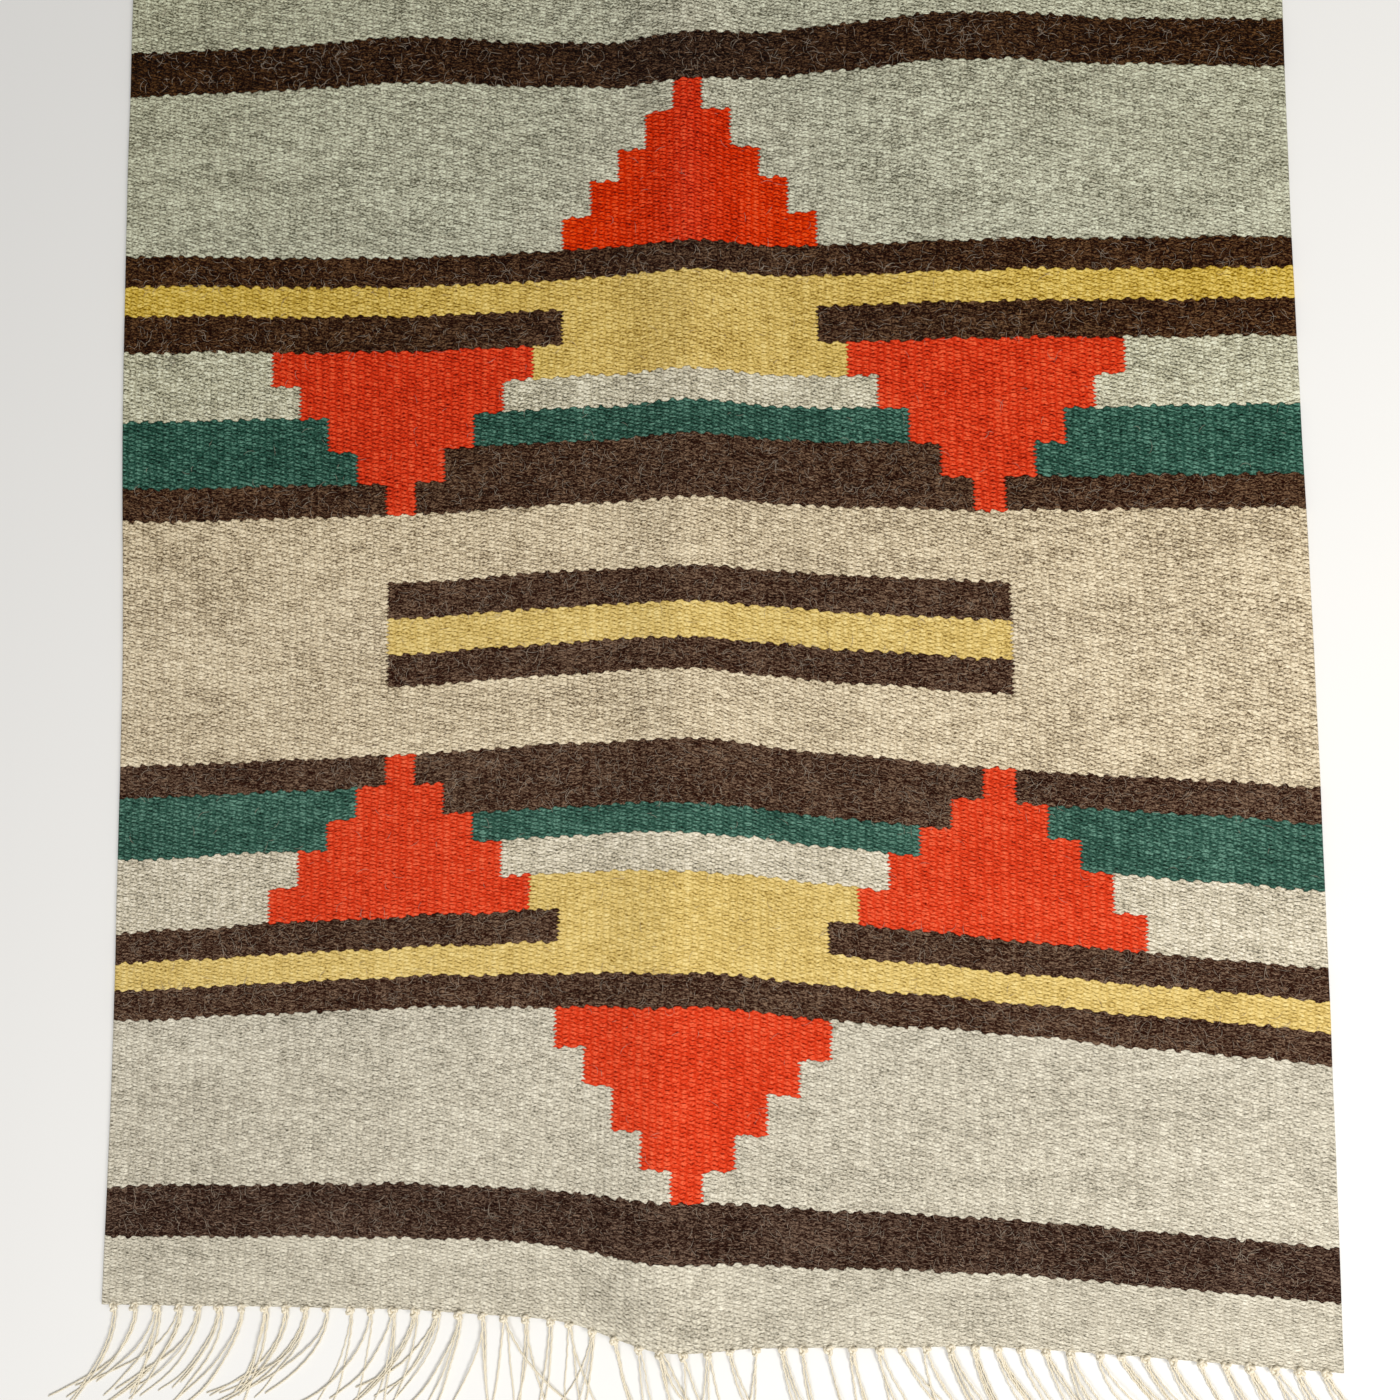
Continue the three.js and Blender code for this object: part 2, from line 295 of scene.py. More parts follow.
# Weft-faced wool: plump beads of weft over each warp, every other column half a bead along.
# To the eye it is matt, with the flecks of mixed fibres; its pale crowns are a painted highlight and the dark
# hollows between beads painted shade
weft = {
    "interlock": 2.1,  # how far the beads' tips reach between those of the next column
    "crownAcross": 0.88,  # warps from a crown's top to where it would end
    "crownAlong": 0.5,  # beads
    "tipRise": 1.1,  # how much shallower the hollow gets between the beads' tips than over the warp
    "crownHeight": 0.45,  # mm
    "slant": 0.25,  # beads that a bead climbs from one side of its warp to the other
    "grooveShade": 0.34,  # painted shade between two warps: how much lower the crown counts there for the colour
    "middleCrown": 0.84,  # the crown's usual height, where a yarn shows its main shade; higher crowns get painted highlight, lower ones painted shade
    # how strongly the crowns' painted highlight and the hollows' painted shade show
    "crownShadeContrast": 2.2,
    "beadContrast": 0.7,
    "passContrast": 0.6,
    "ribContrast": 0.35,
    "fibreContrast": 4.0,
    "blotch": 0.8,  # slow changes of shade
    "headShadeContrast": 0.2,  # the beads' painted highlight and shade, with the fibres' tone, are stronger towards the head end, where the light rakes, and softer at the foot
    "headShadeTone": 0.17,  # painted shade: the head end is drawn a little darker, where the light falls off
    "headShadeGamma": 0.16,  # painted shade: how much darker and deeper the colours get at the head end, where the light falls off
    "leftShadeGamma": 0.25,  # how much more so on its left
    "headSideSaturation": 0.24,  # how much more saturated the head end gets at its sides
    "headShadeMiddle": 0.3,  # how much of the head end's painted shade and tint the rug's middle gets
    "headShadeRise": 2.5,  # how soon it is full towards the head
    "unevenAcross": 0.42,  # warps
    "unevenAlong": 0.85,  # beads
    "unevenScale": 1.2,  # lumps to a warp and to a bead
    "fibreHeight": 0.16,  # mm
    "fleckFrom": 0.57,  # the noise past which a fleck shows, and how fast it rises
    "fleckSlope": 9.0,
}
# What varies over the wool: changes to a warp and to a bead, and the detail of the noise.
# Real fibres are too fine to show, so their streaks are drawn coarser
varied = {
    "pass": ((0.16, 3.7), 2.0),
    "fibre": ((3.0, 3.2), 2.0),
    "blotch": ((0.05, 0.09), 3.0),
    "rib": ((3.7, 0.02), 1.0),
    "fleck": ((1.9, 3.4), 1.0),
}
fleckTwist = 1.2  # how far the noise bends the flecks
chartEdge = 0.25  # beads past a bead's middle at which the chart changes
chartSpare = 2  # beads of the chart past the cloth's ends
chartReach = loom["beads"] / 2 + chartSpare
meanWarpSquare = 1 / 12  # the mean over a warp of the square of the distance from its middle
justInside = 0.001


def woolMaterial():
    material, tree, shader = newMaterial(
        "beatenWoolWeft",
        {"Roughness": 0.92, "IOR": 1.45, "Specular IOR Level": 0.04,
         "Sheen Weight": 0.02, "Sheen Roughness": 0.5},
    )
    place = addNode(tree, "ShaderNodeUVMap", {"uv_map": "loom"})
    split = addNode(tree, "ShaderNodeSeparateXYZ", {}, {0: place})
    uneven = addNode(
        tree, "ShaderNodeTexNoise", {"noise_dimensions": "2D"},
        {"Vector": place, "Scale": weft["unevenScale"], "Detail": 1.0, "Roughness": 0.5})
    unevenSplit = addNode(tree, "ShaderNodeSeparateXYZ", {}, {0: uneven.outputs["Color"]})
    made = {
        "warpPlace": split.outputs["X"],
        "beadPlace": split.outputs["Y"],
        "unevenX": unevenSplit.outputs["X"],
        "unevenY": unevenSplit.outputs["Y"],
    }
    addSteps(tree, made, [
        # wool beaten by hand, so that no bead has quite the form of the next
        ("strayX", "SUBTRACT", "unevenX", 0.5),
        ("strayY", "SUBTRACT", "unevenY", 0.5),
        ("acrossFree", "MULTIPLY_ADD", "strayX", weft["unevenAcross"], "warpPlace"),
        ("acrossHigh", "MINIMUM", "acrossFree", warps - justInside),
        ("across", "MAXIMUM", "acrossHigh", 0.0),
        ("along", "MULTIPLY_ADD", "strayY", weft["unevenAlong"], "beadPlace"),
        # the bead of this column
        ("column", "FLOOR", "across"),
        ("inColumn", "SUBTRACT", "across", "column"),
        ("fromWarp", "SUBTRACT", "inColumn", 0.5),
        ("odd", "FLOORED_MODULO", "column", 2.0),
        ("halfBead", "MULTIPLY", "odd", 0.5),
        ("shifted", "ADD", "along", "halfBead"),
        ("row", "FLOOR", "shifted"),
        ("start", "SUBTRACT", "row", "halfBead"),
        ("inRow", "SUBTRACT", "along", "start"),
        ("fromPass", "SUBTRACT", "inRow", 0.5),
        # the nearest bead of the next column
        ("side", "SIGN", "fromWarp"),
        ("fromNextWarp", "SUBTRACT", "fromWarp", "side"),
        ("nextHalfBead", "SUBTRACT", 0.5, "halfBead"),
        ("nextShifted", "ADD", "along", "nextHalfBead"),
        ("nextRow", "FLOOR", "nextShifted"),
        ("nextStart", "SUBTRACT", "nextRow", "nextHalfBead"),
        ("nextInRow", "SUBTRACT", "along", "nextStart"),
        ("fromNextPass", "SUBTRACT", "nextInRow", 0.5),
        # whichever is nearer
        ("warpSquare", "MULTIPLY", "fromWarp", "fromWarp"),
        ("passSquare", "MULTIPLY", "fromPass", "fromPass"),
        ("reach", "MULTIPLY_ADD", "passSquare", weft["interlock"], "warpSquare"),
        ("nextWarpSquare", "MULTIPLY", "fromNextWarp", "fromNextWarp"),
        ("nextPassSquare", "MULTIPLY", "fromNextPass", "fromNextPass"),
        ("nextReach", "MULTIPLY_ADD", "nextPassSquare", weft["interlock"], "nextWarpSquare"),
        ("isNext", "LESS_THAN", "nextReach", "reach"),
        ("step", "MULTIPLY", "side", "isNext"),
        ("beadColumn", "ADD", "column", "step"),
        ("beadFromWarp", "SUBTRACT", "fromWarp", "step"),
        ("startGap", "SUBTRACT", "nextStart", "start"),
        ("beadStart", "MULTIPLY_ADD", "startGap", "isNext", "start"),
        ("beadFromStart", "SUBTRACT", "along", "beadStart"),
        ("beadUpright", "SUBTRACT", "beadFromStart", 0.5),
        ("beadFromPass", "MULTIPLY_ADD", "beadFromWarp", weft["slant"], "beadUpright"),
        # the bead's place on the chart
        ("beadUnits", "SUBTRACT", "beadColumn", warps / 2 - 0.5),
        ("signedUnits", "DIVIDE", "beadUnits", float(loom["warpsPerUnit"])),
        ("unitsOut", "ABSOLUTE", "signedUnits"),
        ("beadCentre", "SUBTRACT", "beadStart", loom["beads"] / 2 - 0.5),
        ("beadsOut", "ABSOLUTE", "beadCentre"),
        ("chartPlace", "DIVIDE", "beadsOut", chartReach),
        # the bead's crown
        ("acrossShare", "DIVIDE", "beadFromWarp", weft["crownAcross"]),
        ("alongShare", "DIVIDE", "beadFromPass", weft["crownAlong"]),
        ("acrossFall", "MULTIPLY", "acrossShare", "acrossShare"),
        ("alongSquare", "MULTIPLY", "alongShare", "alongShare"),
        ("acrossSize", "ABSOLUTE", "beadFromWarp"),
        ("hollowDepth", "MULTIPLY_ADD", "acrossSize", -weft["tipRise"], 1.0),
        ("fall", "MULTIPLY_ADD", "alongSquare", "hollowDepth", "acrossFall"),
        ("left", "SUBTRACT", 1.0, "fall"),
        ("leftOver", "MAXIMUM", "left", 0.0),
        ("crown", "SQRT", "leftOver"),
    ])

    # the chart as ramps that change just past a bead's middle, so that edges run in half-bead steps
    yarnCount = len(yarnOrder) + 1
    number = {name: (i + 0.5) / yarnCount for i, name in enumerate(yarnOrder)}

    def addChartRamp(end, read):
        stops = []
        total = 0
        for row in chart:
            stops.append(((total + chartEdge) / chartReach if total else 0.0, asColour(read(row))))
            total += row[end]
        return addSteppedRamp(tree, made["chartPlace"], stops)

    addSteps(tree, made, [("isFoot", "LESS_THAN", "beadCentre", 0.0)])
    reads = {
        "outside": lambda row: number[row[3]],
        "inside": lambda row: number[row[4]],
        "insideHalf": lambda row: row[5] / loom["halfUnits"],
        "motifHalf": lambda row: row[6] / loom["halfUnits"],
    }
    for name, read in reads.items():
        made[name + "Head"] = addChartRamp(1, read)
        made[name + "Foot"] = addChartRamp(2, read)
        addSteps(tree, made, [
            (name + "Gap", "SUBTRACT", name + "Foot", name + "Head"),
            (name, "MULTIPLY_ADD", name + "Gap", "isFoot", name + "Head"),
        ])
    addSteps(tree, made, [
        ("shareOut", "DIVIDE", "unitsOut", float(loom["halfUnits"])),
        ("isInside", "LESS_THAN", "shareOut", "insideHalf"),
        ("fromMotif", "SUBTRACT", "shareOut", motifUnits / loom["halfUnits"]),
        ("motifDistance", "ABSOLUTE", "fromMotif"),
        ("isMotif", "LESS_THAN", "motifDistance", "motifHalf"),
        ("groundGap", "SUBTRACT", "inside", "outside"),
        ("ground", "MULTIPLY_ADD", "groundGap", "isInside", "outside"),
        ("motifGap", "SUBTRACT", number["orange"], "ground"),
        ("yarnNumber", "MULTIPLY_ADD", "motifGap", "isMotif", "ground"),
    ])
    shades = {}
    for shade in ("dark", "main", "pale", "headShadeTint"):
        stops = [(i / yarnCount, linear(yarns[name][shade])) for i, name in enumerate(yarnOrder)]
        shades[shade] = addSteppedRamp(tree, made["yarnNumber"], stops)
    for trait in ("mixed", "flecked", "crownShading"):
        stops = [(i / yarnCount, asColour(yarns[name][trait])) for i, name in enumerate(yarnOrder)]
        made[trait] = addSteppedRamp(tree, made["yarnNumber"], stops)

    # each bead its own tone, streaks along a pass, fibres in a bead, slow changes of shade and pale flecks
    def addTone(name, source, distortion=0.0):
        scale, detail = varied[name]
        scaled = addNode(
            tree, "ShaderNodeVectorMath", {"operation": "MULTIPLY"}, {0: source, 1: scale + (1.0,)})
        made[name + "Tone"] = addNode(
            tree, "ShaderNodeTexNoise", {"noise_dimensions": "2D"},
            {"Vector": scaled, "Scale": 1.0, "Detail": detail, "Roughness": 0.6, "Distortion": distortion})

    beadPlace = addNode(
        tree, "ShaderNodeCombineXYZ", {}, {"X": made["beadColumn"], "Y": made["beadStart"], "Z": 0.0})
    made["beadTone"] = addNode(
        tree, "ShaderNodeTexWhiteNoise", {"noise_dimensions": "3D"}, {"Vector": beadPlace})
    addTone("pass", beadPlace)
    addTone("fibre", place)
    addTone("blotch", place)
    addTone("rib", beadPlace)
    addTone("fleck", place, fleckTwist)
    addSteps(tree, made, [
        ("beadPart", "SUBTRACT", "beadTone", 0.5),
        ("passPart", "SUBTRACT", "passTone", 0.5),
        ("fibrePart", "SUBTRACT", "fibreTone", 0.5),
        ("blotchPart", "SUBTRACT", "blotchTone", 0.5),
        ("ribPart", "SUBTRACT", "ribTone", 0.5),
        # the crowns' painted highlight and the hollows' painted shade, with painted shade between warps
        ("grooveShaded", "MULTIPLY_ADD", "warpSquare", -weft["grooveShade"], "crown"),
        ("crownPart", "SUBTRACT", "grooveShaded", weft["middleCrown"] - weft["grooveShade"] * meanWarpSquare),
        ("toneOfBead", "MULTIPLY", "beadPart", weft["beadContrast"]),
        ("toneOfPass", "MULTIPLY_ADD", "passPart", weft["passContrast"], "toneOfBead"),
        ("toneOfFibre", "MULTIPLY_ADD", "fibrePart", weft["fibreContrast"], "toneOfPass"),
        ("toneMixed", "MULTIPLY", "toneOfFibre", "mixed"),
        ("crownOfYarn", "MULTIPLY", "crownPart", "crownShading"),
        ("toneOfCrown", "MULTIPLY_ADD", "crownOfYarn", weft["crownShadeContrast"], "toneMixed"),
        ("towardsHead", "DIVIDE", "beadCentre", loom["beads"] / 2),
        ("contrastHere", "MULTIPLY_ADD", "towardsHead", weft["headShadeContrast"], 1.0),
        ("toneHere", "MULTIPLY", "toneOfCrown", "contrastHere"),
        ("headShare", "MAXIMUM", "towardsHead", 0.0),
        ("blotchOfYarn", "MULTIPLY", "blotchPart", "mixed"),
        ("toneOfBlotch", "MULTIPLY_ADD", "blotchOfYarn", weft["blotch"], "toneHere"),
        ("toneOfRib", "MULTIPLY_ADD", "ribPart", weft["ribContrast"], "toneOfBlotch"),
        ("tone", "MULTIPLY_ADD", "headShare", -weft["headShadeTone"], "toneOfRib"),
        ("darkShare", "MULTIPLY", "tone", -1.0),
        ("fleckOver", "SUBTRACT", "fleckTone", weft["fleckFrom"]),
        ("fleckRise", "MULTIPLY", "fleckOver", weft["fleckSlope"]),
        ("fleckShare", "MULTIPLY", "fleckRise", "flecked"),
        # painted shade where the light falls off: colours darker and deeper towards the head, most on its
        # left; the head end is also more saturated at its sides
        ("acrossRug", "DIVIDE", "signedUnits", float(loom["halfUnits"])),
        ("leftward", "MULTIPLY_ADD", "acrossRug", -weft["leftShadeGamma"], 1.0),
        ("depth", "MULTIPLY", "headShare", "leftward"),
        ("headShadeDepth", "MULTIPLY_ADD", "depth", weft["headShadeGamma"], 1.0),
        ("sideShare", "ABSOLUTE", "acrossRug"),
        ("headShadeAcross", "ADD", "sideShare", weft["headShadeMiddle"]),
        ("headShadeHere", "MULTIPLY", "headShare", "headShadeAcross"),
        ("headShadeShare", "MULTIPLY", "headShadeHere", weft["headShadeRise"]),
        ("headSide", "MULTIPLY", "headShare", "sideShare"),
        ("notMotif", "SUBTRACT", 1.0, "isMotif"),
        ("saturatedHere", "MULTIPLY", "headSide", "notMotif"),
        ("saturationHere", "MULTIPLY_ADD", "saturatedHere", weft["headSideSaturation"], 1.0),
    ])

    def addBlend(share, first, second, way="MIX"):
        settings = {"data_type": "RGBA", "blend_type": way}
        return addNode(tree, "ShaderNodeMix", settings, {"Factor": share, 6: first, 7: second}).outputs[2]

    # tone above nought paints paler and below nought darker: the crowns' painted highlight, the hollows'
    # painted shade and the random tones of beads, passes and fibres
    towardsPale = addBlend(made["tone"], shades["main"], shades["pale"])
    towardsDark = addBlend(made["darkShare"], towardsPale, shades["dark"])
    flecked = addBlend(made["fleckShare"], towardsDark, shades["pale"])
    # painted shade and tint at the head end, where the light falls off, then a gamma that darkens and deepens
    # the colours there
    headShaded = addBlend(made["headShadeShare"], flecked, shades["headShadeTint"], "MULTIPLY")
    dyed = addNode(tree, "ShaderNodeGamma", {}, {"Color": headShaded, "Gamma": made["headShadeDepth"]})
    clear = addNode(tree, "ShaderNodeHueSaturation", {}, {"Color": dyed, "Saturation": made["saturationHere"]})
    tree.links.new(clear.outputs["Color"], shader.inputs["Base Color"])

    # relief of the beads and their fibres
    addSteps(tree, made, [
        ("crownRelief", "MULTIPLY", "crown", weft["crownHeight"] * mm),
        ("relief", "MULTIPLY_ADD", "fibrePart", weft["fibreHeight"] * mm, "crownRelief"),
    ])
    bump = addNode(
        tree, "ShaderNodeBump", {}, {"Strength": 1.0, "Distance": 1.0, "Height": made["relief"]})
    tree.links.new(bump.outputs["Normal"], shader.inputs["Normal"])
    return material


# Plied cotton: a cream cord, matt, with slanting stripes of painted shadow in the furrows where its plies
# turn
cotton = {
    "main": "#F0E9D6",
    "shadow": "#BCAA8A",
    "shadowShare": 0.5,
    "turn": 3.1,  # mm
    "relief": 0.12,  # mm
}


def cottonMaterial():
    material, tree, shader = newMaterial(
        "pliedCotton", {"Roughness": 0.85, "IOR": 1.45, "Specular IOR Level": 0.3})
    ply = addNode(tree, "ShaderNodeAttribute", {"attribute_name": "ply"})
    split = addNode(tree, "ShaderNodeSeparateXYZ", {}, {0: ply.outputs["Vector"]})
    made = {"cosine": split.outputs["X"], "sine": split.outputs["Y"], "run": split.outputs["Z"]}
    addSteps(tree, made, [
        ("angle", "ARCTAN2", "sine", "cosine"),
        ("turned", "MULTIPLY_ADD", "run", 2 * math.pi / cotton["turn"], "angle"),
        ("twice", "MULTIPLY", "turned", 2.0),
        ("wave", "COSINE", "twice"),
        ("ridge", "MULTIPLY_ADD", "wave", 0.5, 0.5),
        ("relief", "MULTIPLY", "ridge", cotton["relief"] * mm),
        ("furrow", "SUBTRACT", 1.0, "ridge"),
        ("furrowSquare", "MULTIPLY", "furrow", "furrow"),
        ("furrowShare", "MULTIPLY", "furrowSquare", cotton["shadowShare"]),
    ])
    colour = addNode(
        tree, "ShaderNodeMix", {"data_type": "RGBA"},
        {"Factor": made["furrowShare"], 6: linear(cotton["main"]), 7: linear(cotton["shadow"])})
    tree.links.new(colour.outputs[2], shader.inputs["Base Color"])
    bump = addNode(tree, "ShaderNodeBump", {}, {"Strength": 1.0, "Distance": 1.0, "Height": made["relief"]})
    tree.links.new(bump.outputs["Normal"], shader.inputs["Normal"])
    return material


# Loose wool hairs: thin, slightly glossy, paler than the yarn they stand out of
hairShades = {"dark": "#5C4A3A", "pale": "#DACCBA", "changes": 160.0}  # changes of shade to a metre


def hairMaterial():
    material, tree, shader = newMaterial(
        "looseWoolHair", {"Roughness": 0.55, "IOR": 1.5, "Specular IOR Level": 0.4})
    place = addNode(tree, "ShaderNodeTexCoord")
    tone = addNode(
        tree, "ShaderNodeTexNoise", {},
        {"Vector": place.outputs["Object"], "Scale": hairShades["changes"], "Detail": 1.0})
    colour = addNode(
        tree, "ShaderNodeMix", {"data_type": "RGBA"},
        {"Factor": tone, 6: linear(hairShades["dark"]), 7: linear(hairShades["pale"])})
    tree.links.new(colour.outputs[2], shader.inputs["Base Color"])
    return material


def finishPiece(name, bm, material):
    mesh = bpy.data.meshes.new(name)
    bm.to_mesh(mesh)
    bm.free()
    mesh.shade_smooth()
    piece = bpy.data.objects.new(name, mesh)
    scene.collection.objects.link(piece)
    mesh.materials.append(material)
    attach(piece, "root")
    return piece


# The woven sheet, with its warp ribs in the mesh and rounded selvages
sheet = {
    "stepsPerWarp": 4,
    "rows": 74,
    "ribDepth": 0.4,  # mm, on each face
    "ribRoundness": 0.8,
    "edgeInset": 1.0,  # mm, the last row's rounding
    "edgeDrop": 0.85,  # mm
    "edgeRib": 0.3,  # mm
    "unevenness": 0.35,  # mm, soft lumps
    "lumpSize": 38.0,  # mm
    "weftWander": 0.55,  # beads
    "wandersPerUnit": 0.55,
    "wanderLength": 60,  # mm
    "wanderSeed": 7.3,
}


def rowPlace(row):
    # mm along the warps of a mesh row, with one row close to each end for the rounding
    if row == 0:
        return -halfLength
    if row == sheet["rows"]:
        return halfLength
    inner = halfLength - sheet["edgeInset"]
    return -inner + 2 * inner * (row - 1) / (sheet["rows"] - 2)


def makeCloth(material):
    columns = warps * sheet["stepsPerWarp"]
    rows = sheet["rows"]
    bm = bmesh.new()
    bmesh.ops.create_grid(bm, x_segments=columns, y_segments=rows, size=0.5)
    upper = bmesh.ops.extrude_face_region(bm, geom=bm.faces[:], use_keep_orig=True)
    upperVerts = {v for v in upper["geom"] if isinstance(v, bmesh.types.BMVert)}
    uv = bm.loops.layers.uv.new("loom")
    places = {}
    for vert in bm.verts:
        column = round((vert.co.x + 0.5) * columns)
        row = round((vert.co.y + 0.5) * rows)
        warp = column / sheet["stepsPerWarp"]
        u = (warp - warps / 2) / loom["warpsPerUnit"]
        v = rowPlace(row)
        rib = math.sin(math.pi * (warp % 1)) ** sheet["ribRoundness"]
        inset = sheet["ribDepth"] * (1 - rib)
        if row in (0, rows) or column in (0, columns):
            inset = sheet["edgeDrop"] + sheet["edgeRib"] * (1 - rib)
        point = placeOnFloor(u, v)
        lump = noise.noise(Vector((u * unit, v, 0)) / sheet["lumpSize"])
        if vert in upperVerts:
            point.z += loom["thickness"] - inset + sheet["unevenness"] * lump
        else:
            point.z += inset
        wanderPlace = (u * sheet["wandersPerUnit"], v / sheet["wanderLength"], sheet["wanderSeed"])
        wander = sheet["weftWander"] * noise.noise(Vector(wanderPlace))
        places[vert] = (warp, (v + halfLength) / loom["beadLength"] + wander)
        vert.co = point * mm
    for face in bm.faces:
        for loop in face.loops:
            loop[uv].uv = places[loop.vert]
    bmesh.ops.recalc_face_normals(bm, faces=bm.faces[:])
    return finishPiece("rugCloth", bm, material)


def tubeTemplate(name, sides, steps):
    # a capped tube of radius 1 from z 0 to 1
    bm = bmesh.new()
    ring = bmesh.ops.create_circle(bm, cap_ends=True, radius=1, segments=sides)["verts"]
    edges = list({edge for vert in ring for edge in vert.link_edges})
    for step in range(steps):
        grown = bmesh.ops.extrude_edge_only(bm, edges=edges)["geom"]
        edges = [part for part in grown if isinstance(part, bmesh.types.BMEdge)]
        ringVerts = [part for part in grown if isinstance(part, bmesh.types.BMVert)]
        bmesh.ops.translate(bm, verts=ringVerts, vec=(0, 0, 1 / steps))
    bmesh.ops.contextual_create(bm, geom=edges)
    bmesh.ops.recalc_face_normals(bm, faces=bm.faces[:])
    # laying a tube along its route mirrors it, which turns these faces back outwards
    bmesh.ops.reverse_faces(bm, faces=bm.faces[:])
    mesh = bpy.data.meshes.new(name)
    bm.to_mesh(mesh)
    bm.free()
    return mesh


near = 0.02  # a short way along a route, for its direction


def layTube(bm, template, route, radius, length):
    # adds a copy of the template along a route, s from 0 to 1, in mm
    before = len(bm.verts)
    bm.from_mesh(template)
    bm.verts.ensure_lookup_table()
    ply = bm.verts.layers.float_vector["ply"]
    for vert in bm.verts[before:]:
        s = vert.co.z
        centre = route(s)
        ahead = (route(min(s + near, 1.0)) - route(max(s - near, 0.0))).normalized()
        aside = ahead.cross(Vector((0, 0, 1))).normalized()
        up = aside.cross(ahead)
        vert[ply] = (vert.co.x, vert.co.y, s * length)
        vert.co = (centre + (aside * vert.co.x + up * vert.co.y) * radius(s)) * mm


# The fringe: three warps to a knot, then thin cords that run out over the floor. Sizes are in mm
fringe = {
    "cordMesh": (6, 28),  # sides and steps
    "leadMesh": (6, 3),
    "knotMesh": (6, 22),
    "knots": 53,
    "warpsPerKnot": 3,
    "gap": 0.3,
    "length": 54,
    "landing": 0.25,  # the share of a cord that comes down from the cloth
    "lowest": 1.0,  # how far a cord's start lies over the cloth's underside
    "shortening": 0.28,  # how much less far out a leaning cord reaches
    "bendAstray": 0.15,
    "knotOut": 0.5,  # from the cloth's edge to the knot's middle
    "knotHeight": 2.9,
    "knotSize": 0.62,
    "knotSizes": (0.85, 1.15),
    "knotTip": 0.5,  # radians
    "knotLength": 14,  # of cord in a knot
    "knotCord": 0.78,
    "knotAstray": 0.08,  # units
    "leadInset": 1.2,  # where a warp leaves the cloth's edge for its knot
    "leadRadius": 0.55,
    "leadLength": 4,
    "cordsAtKnot": (2, 3, 3, 4),
    "cordRadius": (0.34, 0.5),
    "rootSpacing": 0.7,
    "spacingAstray": 0.4,
    "fan": 2.0,
    "leanAstray": 0.08,
    "leanApart": 0.8,  # how much of a place's disorder is between the cords of one knot
    "sway": 4.5,
    "swayShares": (0.3, 1),
    "swayTurns": 2.2,
    "hop": 1.6,  # how far a cord may rise off the floor on its way
    "hopPlace": 0.4,
    "inKnot": 0.04,  # the share of a cord that starts inside its knot
    "taperFrom": 0.95,
    "taper": 0.3,
    "crimp": 0.3,  # the waves that the weave has left in the cords
    "crimpLength": 5.5,
    "uneven": 0.12,
}
# How far the cords' tips lean to the side at places across, as a share of their length, and how far astray
leanUnits = (-20, -9, -6, 0, 6, 20)
fringeEnds = {
    "fringeHead": {
        "node": "fringe_head", "side": 1, "share": 0.94,
        "lean": (-0.22, -0.15, -0.1, 0.05, 0.15, 0.3),
        "astray": (0.1, 0.15, 0.2, 0.2, 0.15, 0.1),
        "bend": (1.6, 1.5),
    },
    "fringeFoot": {
        "node": "fringe_foot", "side": -1, "share": 1.0,
        "lean": (-0.62, -0.5, 0.05, 0.05, 0.5, 0.66),
        "astray": (0.16, 0.28, 0.5, 0.4, 0.2, 0.14),
        "bend": (1.8, 1.15),
    },
}


def knotSpine(end, index, rng):
    # the route that the cords of one knot share
    u = (index - (fringe["knots"] - 1) / 2) * fringe["warpsPerKnot"] / loom["warpsPerUnit"]
    u += fringe["knotAstray"] * rng.uniform(-1, 1)
    astray = smoothThrough(leanUnits, end["astray"], u)
    lean = smoothThrough(leanUnits, end["lean"], u) + astray * rng.uniform(-1, 1)
    bend = smoothThrough((-loom["halfUnits"], loom["halfUnits"]), end["bend"], u)
    bend += fringe["bendAstray"] * rng.uniform(-1, 1)
    length = fringe["length"] * end["share"] * (1 + fringe["uneven"] * rng.uniform(-1, 1))
    root = placeOnFloor(u, end["side"] * halfLength)
    root.y += end["side"] * (fringe["gap"] + fringe["knotOut"])

    def spine(s, extraLean):
        sideways = (lean + extraLean) * length * s ** bend
        outwards = length * s * (1 - fringe["shortening"] * abs(lean + extraLean) * s)
        drop = max(1 - s / fringe["landing"], 0) ** 2
        height = (root.z + fringe["lowest"]) * drop
        return Vector((root.x + sideways, root.y + end["side"] * outwards, height))

    return u, spine, length, astray


